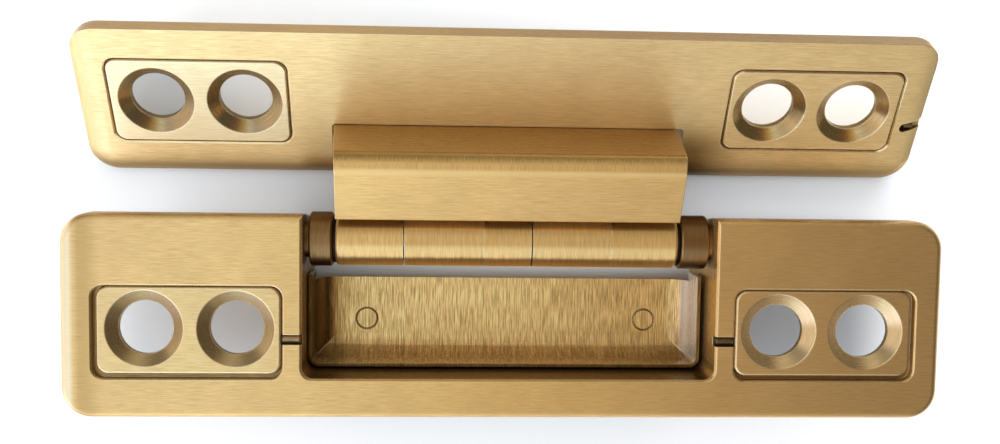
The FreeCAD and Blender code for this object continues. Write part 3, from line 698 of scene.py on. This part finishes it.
def plain_metal(name, tint, rough):
    """Metal with faint mottling, smoother where it is lighter."""
    material = bpy.data.materials.new(name)
    tree = Tree(material)
    mottle = tree.noise(tree.place(), *MOTTLE_NOISE)
    shade = tree.ramp(mottle, *NOISE_SPREAD, *MOTTLE_SHADE, "LINEAR")
    factor = tree.ramp(mottle, *NOISE_SPREAD, *MOTTLE_ROUGH, "LINEAR")
    roughness = tree.product(factor, rough)
    normal = tree.bevelled(PLAIN_EDGE)
    shader = tree.add("ShaderNodeBsdfPrincipled", Metallic=1.0, Normal=normal, Roughness=roughness)
    tree.put(shader.inputs["Base Color"], tree.blend(1.0, tint, shade, "RGBA", "MULTIPLY"))
    tree.finish_with(shader)
    return material


def finish_nodes():
    """Gives every CAD node its metal, plain steel where none is named."""
    tray = Tray("tray_brass").material
    bronze = Bush("dark_bronze").material
    steel = plain_metal("steel", STEEL, rough=0.3)
    grub = plain_metal("dark_steel", DARK_STEEL, rough=0.45)
    sleeve = plain_metal("sleeve_bronze", BRONZE, rough=0.4)
    washer = plain_metal("washer_dark", WASHER, rough=0.5)
    finish = {
        "frame_leaf": FrameLeaf("frame_leaf_brass").material,
        "frame_screw_plate_left": FramePlateLeft("frame_plate_left").material,
        "frame_screw_plate_right": FramePlateRight("frame_plate_right").material,
        "pocket_tray": tray,
        "tray_rivets": tray,
        "pivot_rail": AboutPin("rail_brass").material,
        "door_leaf": DoorLeaf("door_leaf_brass").material,
        "door_screw_plate_left": DoorPlateLeft("door_plate_left").material,
        "door_screw_plate_right": DoorPlateRight("door_plate_right").material,
        "gooseneck_arm": Arm("arm_brass").material,
        "end_bush_left": bronze,
        "end_bush_right": bronze,
        "thrust_washer_left": washer,
        "thrust_washer_right": washer,
        "bearing_sleeve_left": sleeve,
        "bearing_sleeve_centre": sleeve,
        "bearing_sleeve_right": sleeve,
        "adjuster_screw_left": plain_metal("tan_steel", TAN_STEEL, rough=0.45),
        "adjuster_screw_right": grub,
        "door_adjuster_screw": grub,
    }
    for name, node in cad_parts.items():
        node.data.materials.clear()
        node.data.materials.append(finish.get(name, steel))


finish_nodes()

# Floor with painted shade: cooler near the hinge and greyer where a leaf covers it
FLOOR_SIZE = 4.0
FLOOR_Z = -0.05 * MM
COVER_DISTANCE = 30 * MM
COVER_SAMPLES = 12
OPEN_SKY = (0.45, 0.95)
COVERED_SKY = (0.97, 0.8)
DEEP_SKY = (0.75, 0.55)
OPEN_FLOOR = colour(0.87, 0.89, 0.92)
# Painted shade near the hinge, cool and grey, on the floor and in the pocket
NEAR_HINGE_SHADE = colour(0.85, 0.92, 1.0)
POCKET_FLOOR_SHADE = colour(0.86, 0.93, 1.0)
POCKET_SIDES = (POCKET_HALF + 0.5 * MM, POCKET_HALF)
# Painted shadows where the leaves, the door and the notch cover the floor
LEFT_LEAF_SHADOW = colour(0.62, 0.67, 0.74)
RIGHT_LEAF_SHADOW = colour(0.36, 0.4, 0.45)
LEFT_TO_RIGHT = (-10 * MM, 10 * MM)
LEAF_SIDES = (LEAF_HIGH.x + 2 * MM, LEAF_HIGH.x - 8 * MM)
LEAF_SPAN = (LEAF_LOW.y, LEAF_LOW.y + 4 * MM, LEAF_HIGH.y - 4 * MM, LEAF_HIGH.y)
DOOR_SHADOW = colour(0.53, 0.59, 0.67)
DOOR_SPAN = (DOOR_LOW.y + 3 * MM, DOOR_LOW.y + 7 * MM, DOOR_HIGH.y - 6 * MM, DOOR_HIGH.y - 2 * MM)
DOOR_LEFT_END = (-63 * MM, -57 * MM, -50 * MM, -30 * MM)
NOTCH_SHADOW = colour(0.22, 0.2, 0.19)
NOTCH_SPOT = (26.4 * MM, 29.8 * MM, 0.0)
NOTCH_REACH = (2.8 * MM, 0.8 * MM)


def floor_colour(tree):
    """White paper with painted shadows of the leaves, the door and the notch, only where the floor is
    covered.
    """
    place = tree.place()
    spot = tree.parts(place)
    sky = tree.sky(COVER_DISTANCE, COVER_SAMPLES)
    covered = tree.ramp(sky, *COVERED_SKY)
    sideways = tree.math("ABSOLUTE", spot["X"])
    in_pocket = tree.ramp(sideways, *POCKET_SIDES)
    near = tree.blend(in_pocket, NEAR_HINGE_SHADE, POCKET_FLOOR_SHADE)
    paper = tree.blend(tree.ramp(sky, *OPEN_SKY), near, OPEN_FLOOR)
    beside_pocket = tree.math("SUBTRACT", 1.0, in_pocket)
    under_leaf = tree.product(covered, beside_pocket, tree.ramp(sideways, *LEAF_SIDES),
                              tree.band(spot["Y"], *LEAF_SPAN))
    leaf_shade = tree.blend(tree.ramp(spot["X"], *LEFT_TO_RIGHT), LEFT_LEAF_SHADOW, RIGHT_LEAF_SHADOW)
    paper = tree.blend(under_leaf, paper, leaf_shade)
    under_door = tree.product(covered, tree.band(spot["Y"], *DOOR_SPAN),
                              tree.band(spot["X"], *DOOR_LEFT_END))
    paper = tree.blend(under_door, paper, DOOR_SHADOW)
    from_notch = tree.vector("LENGTH", tree.vector("SUBTRACT", place, NOTCH_SPOT))
    under_notch = tree.product(tree.ramp(sky, *DEEP_SKY), tree.ramp(from_notch, *NOTCH_REACH))
    return tree.blend(under_notch, paper, NOTCH_SHADOW)


bpy.ops.mesh.primitive_plane_add(size=FLOOR_SIZE, location=(0, 0, FLOOR_Z))
floor = bpy.context.object
floor.name = "floor"
floor_material = bpy.data.materials.new("floor_white")
floor_tree = Tree(floor_material)
floor_tree.finish_with(floor_tree.add("ShaderNodeBsdfDiffuse", Color=floor_colour(floor_tree)))
floor.data.materials.append(floor_material)

# Studio that the metal reflects, in zones from the back to the front. In each zone, colours stand at
# places from far left (-1) to far right (1).
BEHIND = ((-0.6, (0.2, 0.2, 0.2)), (0.0, (0.72, 0.73, 0.7)), (0.6, (0.05, 0.05, 0.05)))
OVERHEAD = ((-0.9, (1.2, 1.15, 1.2)), (-0.45, (0.85, 0.9, 1.2)), (-0.2, (1.2, 1.5, 2.0)),
            (0.05, (0.75, 0.6, 0.2)), (0.3, (0.15, 0.02, 0.0)), (0.6, (0.02, 0.02, 0.02)))
GLOW = ((-0.9, (1.8, 2.0, 3.0)), (-0.45, (1.95, 2.25, 3.3)), (-0.2, (1.3, 1.8, 2.4)),
        (0.05, (0.9, 1.1, 1.5)), (0.3, (0.7, 0.8, 0.9)), (0.6, (0.1, 0.1, 0.1)))
IN_FRONT = ((-0.9, (1.8, 2.0, 3.0)), (-0.45, (2.05, 2.35, 3.3)), (-0.2, (1.7, 2.1, 2.6)),
            (0.05, (1.1, 1.2, 1.6)), (0.3, (0.6, 0.6, 0.6)), (0.6, (0.3, 0.3, 0.3)))
BEHIND_FROM = (0.35, 0.65)
GLOW_FROM = (-0.25, -0.55)
IN_FRONT_FROM = (-0.75, -0.93)

# White sky that lights the floor, brighter overhead
LOW_SKY = colour(0.3, 0.31, 0.33)
HIGH_SKY = colour(1.28, 1.28, 1.28)
SKY_RISE = (0.05, 0.75)


def studio_world():
    """Zoned studio for reflections, and a white sky for all other light."""
    world = bpy.data.worlds.new("studio")
    bpy.context.scene.world = world
    tree = Tree(world)
    toward = tree.parts(tree.add("ShaderNodeTexCoord").outputs["Generated"])
    studio = tree.gradient(toward["X"], OVERHEAD)
    for reach, zone in ((GLOW_FROM, GLOW), (IN_FRONT_FROM, IN_FRONT), (BEHIND_FROM, BEHIND)):
        studio = tree.blend(tree.ramp(toward["Y"], *reach), studio, tree.gradient(toward["X"], zone))
    even = tree.blend(tree.ramp(toward["Z"], *SKY_RISE, shape="LINEAR"), LOW_SKY, HIGH_SKY)
    glossy = tree.add("ShaderNodeLightPath").outputs["Is Glossy Ray"]
    seen = tree.blend(glossy, even, studio)
    tree.finish_with(tree.add("ShaderNodeBackground", Color=seen, Strength=1.0), "ShaderNodeOutputWorld")


studio_world()


def softbox(name, place, aim, size, power):
    """Area lamp aimed at a point, left out of the reflections."""
    lamp = bpy.data.lights.new(name, "AREA")
    lamp.shape = "RECTANGLE"
    lamp.size, lamp.size_y = size
    lamp.energy = power
    holder = bpy.data.objects.new(name, lamp)
    bpy.context.scene.collection.objects.link(holder)
    holder.location = place
    holder.rotation_euler = (Vector(aim) - Vector(place)).to_track_quat("-Z", "Y").to_euler()
    holder.visible_glossy = False


# Lamps: place, aim and size in metres, and power in watts
softbox("key", place=(-0.3, -0.1, 0.22), aim=(0.0, 0.01, 0.0), size=(0.2, 0.2), power=0.5)
softbox("back", place=(0.12, 0.32, 0.16), aim=(0.03, 0.03, 0.0), size=(0.2, 0.12), power=0.13)
softbox("side", place=(0.09, 0.12, 0.045), aim=(0.045, 0.035, 0.0), size=(0.09, 0.06), power=0.1)

# Camera, fitted to the leaf corners and holes
IMAGE_WIDTH = 1000.0
FOCAL_PIXELS = 1158.92
SENSOR_WIDTH = 36.0
CAMERA_CLIP = 5 * MM
CAMERA_YAW = 0.0555
CAMERA_PITCH = 0.07755
CAMERA_ROLL = -0.015
CAMERA_SHIFT = Vector((-1.4825, 13.2594, 158.881)) * MM


def fitted_camera():
    """Camera in front of the frame leaf, turned and shifted as in the photo."""
    data = bpy.data.cameras.new("camera")
    data.sensor_width = SENSOR_WIDTH
    data.lens = SENSOR_WIDTH * FOCAL_PIXELS / IMAGE_WIDTH
    data.clip_start = CAMERA_CLIP
    camera = bpy.data.objects.new("camera", data)
    bpy.context.scene.collection.objects.link(camera)
    yaw = Matrix.Rotation(CAMERA_YAW, 3, "Y")
    pitch = Matrix.Rotation(CAMERA_PITCH, 3, "X")
    roll = Matrix.Rotation(CAMERA_ROLL, 3, "Z")
    turn = (roll @ pitch @ yaw).transposed()
    camera.matrix_world = Matrix.Translation(LEAF_MIDDLE + turn @ CAMERA_SHIFT) @ turn.to_4x4()
    return camera


bpy.context.scene.camera = fitted_camera()
bpy.context.scene.view_settings.view_transform = "Standard"
